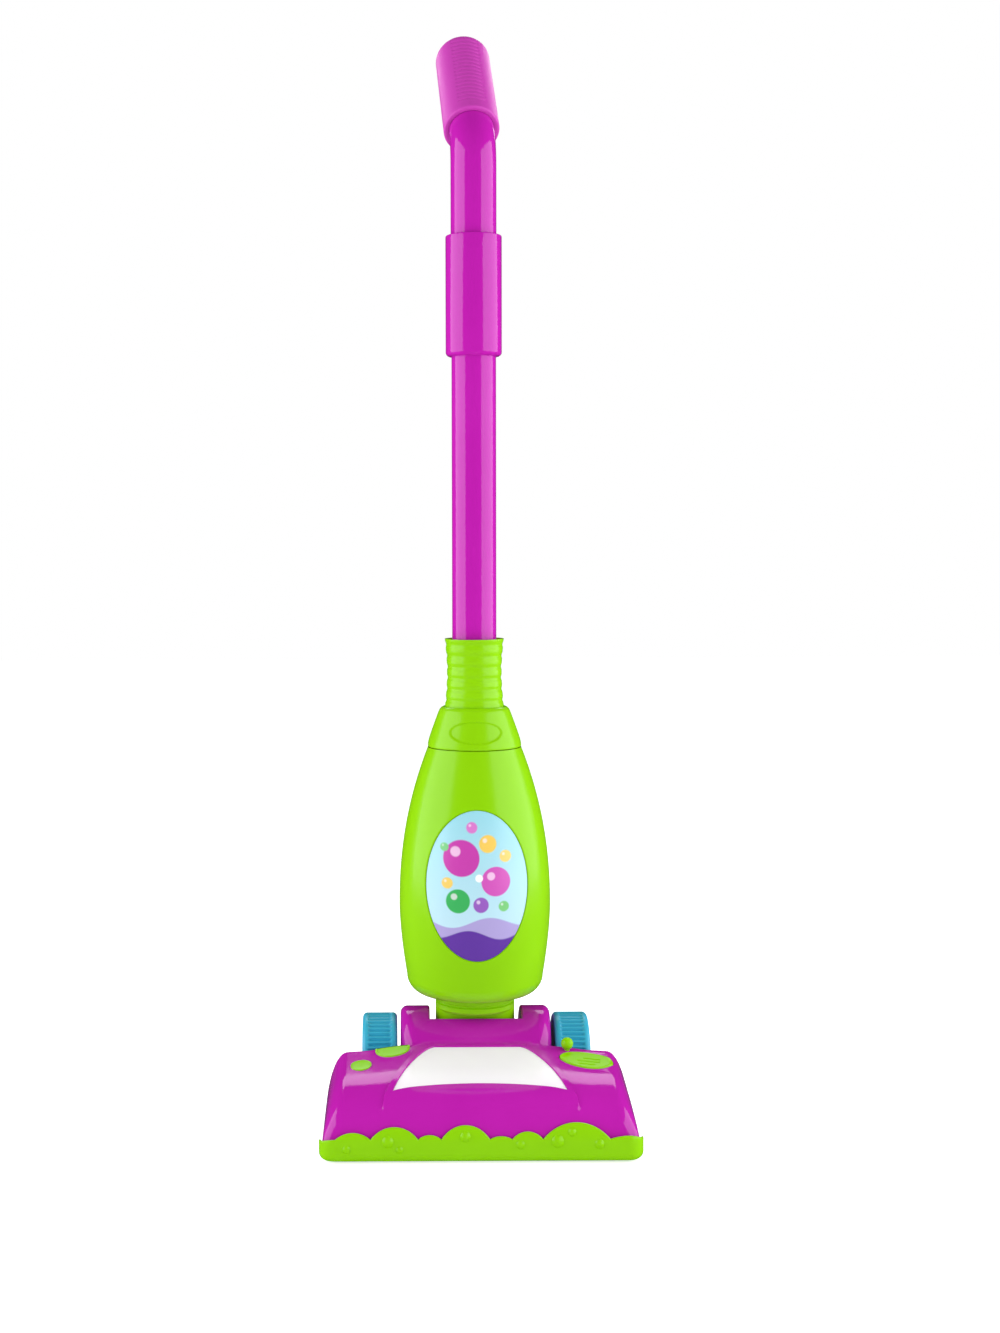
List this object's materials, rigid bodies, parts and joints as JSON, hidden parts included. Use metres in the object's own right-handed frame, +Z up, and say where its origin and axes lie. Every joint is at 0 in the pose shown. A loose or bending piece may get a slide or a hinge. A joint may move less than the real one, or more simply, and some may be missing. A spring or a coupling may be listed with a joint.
{
  "type": "toy vacuum cleaner",
  "caption": "Toy upright vacuum cleaner: wide floor head with a milky window and a scalloped bumper, wheels on a yoke, bottle-shaped body and a long tube with a leaning grip.",
  "frame": {"origin": "middle of the bounding box's underside, on the floor", "axes": "+Z up; the front of the head faces -Y; +X is to the right as seen from the front"},
  "size_m": [0.175, 0.1721, 0.63],
  "materials": {
    "magenta": "glossy moulded plastic",
    "magenta_satin": "satin moulded plastic",
    "green": "glossy moulded plastic",
    "teal": "glossy moulded plastic",
    "milk": "milky translucent plastic",
    "label": "printed paper label with a plain pattern",
    "steel": "bare steel",
    "dark": "dark moulding",
    "board": "coated board",
    "lamp": "clear lamp",
    "cell": "wrapped metal can"
  },
  "bodies": {
    "head": {"head_shell": "magenta", "bumper": "green", "sole_plate": "green", "window": "milk", "deck_spots": "green", "deck_ball": "green", "button_spring": "steel", "push_switch": "dark", "circuit_board": "board", "leds": "lamp", "speaker": "dark", "battery_cells": "cell", "battery_contacts": "steel", "battery_door": "green", "battery_screw": "steel", "head_screws": "steel"},
    "upright": {"pivot_neck": "green", "body_front": "green", "body_back": "green", "body_screws": "steel", "label": "label", "collar": "green", "ribbed_neck": "green", "lower_tube": "magenta", "upper_tube": "magenta", "grip": "magenta_satin"},
    "wheels": {"axle": "steel", "left_wheel": "teal", "right_wheel": "teal"},
    "foot_button": {"foot_button": "green"}
  },
  "joints": [
    {"name": "recline", "type": "hinge", "parent": "head", "child": "upright", "pos_m": [0, 0.01348, 0.0285], "axis": [-1, 0, 0], "range_deg": [0, 55]},
    {"name": "wheel_spin", "type": "hinge", "parent": "head", "child": "wheels", "pos_m": [0, 0.01348, 0.0285], "axis": [1, 0, 0], "continuous": true},
    {"name": "button_press", "type": "slide", "parent": "head", "child": "foot_button", "axis": [0, 0, -1], "range_m": [0, 0.0025], "stiffness_N_per_m": 400, "springref_m": -0.002, "deforming": ["button_spring"]}
  ]
}
